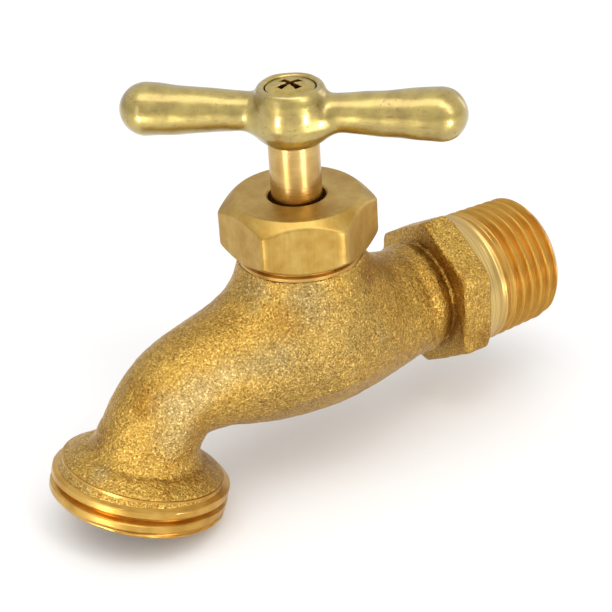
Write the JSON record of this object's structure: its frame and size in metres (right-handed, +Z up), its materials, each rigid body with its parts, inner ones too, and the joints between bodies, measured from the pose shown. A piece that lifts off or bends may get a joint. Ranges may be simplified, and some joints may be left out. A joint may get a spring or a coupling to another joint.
{
  "type": "hose bib",
  "caption": "Brass hose bib with a male pipe inlet, a wrench hexagon, a curved spout with a garden-hose thread and a tee handle.",
  "frame": {"origin": "centre of the inlet's end face, on the pipe thread's axis", "axes": "+X out of the inlet along its pipe, +Z up the stem, the spout towards -X"},
  "size_m": [0.0881, 0.0378, 0.063],
  "materials": {
    "cast_brass": "sand cast, unpolished",
    "turned_brass": "satin, machined",
    "stem_brass": "satin, turned",
    "handle_brass": "tumbled, semi-gloss",
    "screw_brass": "satin",
    "packing_fibre": "graphited fibre",
    "washer_rubber": "matt"
  },
  "bodies": {
    "valve_body": {"body_casting": "cast_brass", "packing_nut": "turned_brass", "packing_gland": "turned_brass", "stem_packing": "packing_fibre"},
    "washer_carrier": {"seat_washer": "washer_rubber"},
    "stem_and_handle": {"stem": "stem_brass", "seat_washer_screw": "screw_brass", "tee_handle": "handle_brass", "handle_screw": "screw_brass"}
  },
  "joints": [
    {"name": "stem_lift", "type": "slide", "parent": "valve_body", "child": "washer_carrier", "axis": [0, 0, 1], "range_m": [0, 0.00529]},
    {"name": "stem_turn", "type": "hinge", "parent": "washer_carrier", "child": "stem_and_handle", "pos_m": [-0.0433, 0, 0.02], "axis": [0, 0, 1], "range_deg": [0, 900]}
  ],
  "couplings": [
    {"joint": "stem_turn", "follows": "stem_lift", "rad_per_m": 2968.4}
  ]
}
